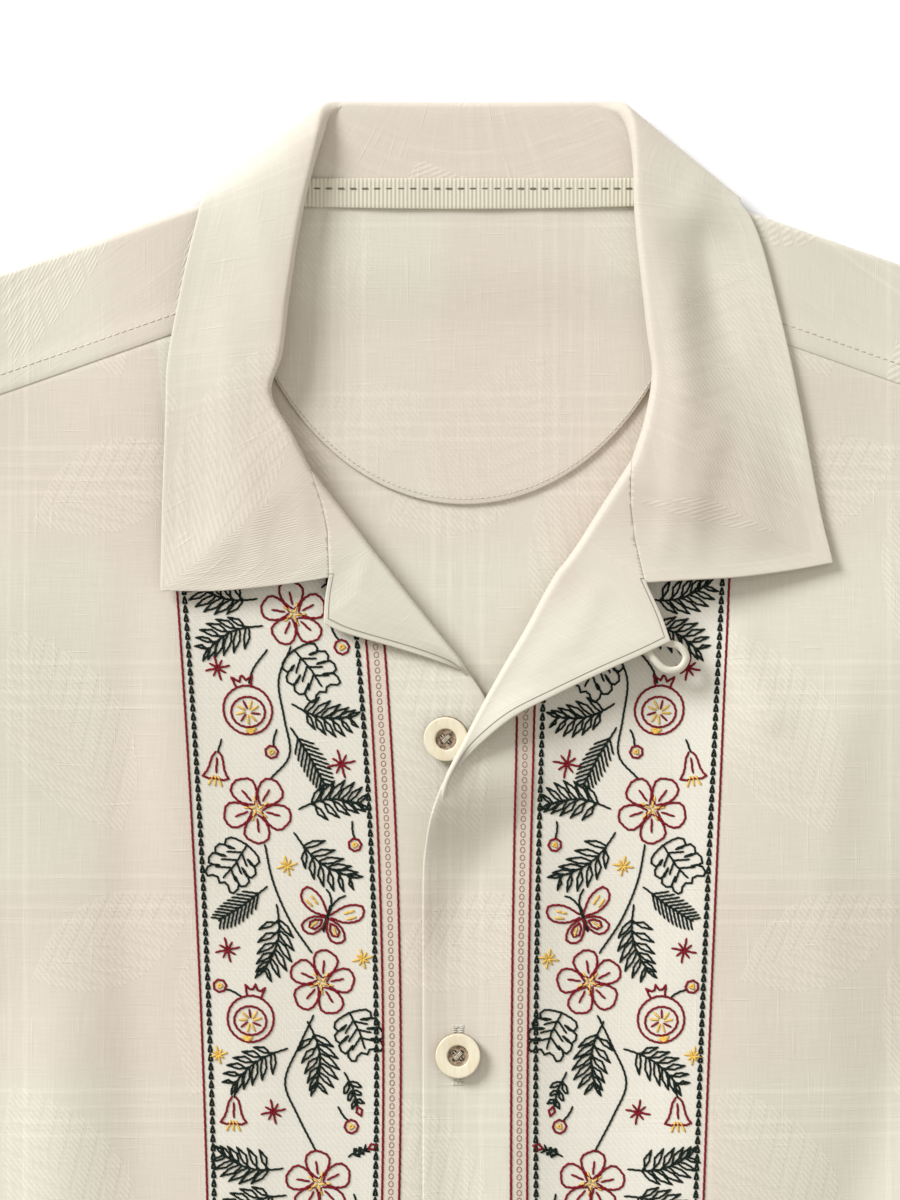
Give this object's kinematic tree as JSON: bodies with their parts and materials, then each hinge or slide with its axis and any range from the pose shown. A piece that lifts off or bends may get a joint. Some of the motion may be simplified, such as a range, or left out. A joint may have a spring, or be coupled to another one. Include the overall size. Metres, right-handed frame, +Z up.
{
  "type": "silk camp shirt laid flat",
  "caption": "Short-sleeved button-front camp shirt with an open notched collar, laid flat on its back, with embroidered front bands.",
  "frame": {"origin": "middle of the shirt's outline seen from above, on the surface it lies on", "axes": "+X to the wearer's left, +Y from hem to collar, +Z up from the surface"},
  "size_m": [0.9326, 0.7943, 0.0135],
  "materials": {
    "silk": "cream slubbed silk with a tonal windowpane check",
    "tape": "ribbed cream cotton tape",
    "buttons": "polished cream with a mottled brown well",
    "thread": "embroidery thread"
  },
  "bodies": {
    "root": {"back": "silk", "neck_facing": "silk", "neck_tape": "tape", "front_right": "silk", "front_left": "silk", "lapel_right": "silk", "lapel_left": "silk", "collar": "silk", "collar_loop": "silk", "sleeve_right": "silk", "sleeve_left": "silk", "button_1": "buttons", "button_2": "buttons", "button_3": "buttons", "button_4": "buttons", "button_5": "buttons"}
  },
  "joints": []
}
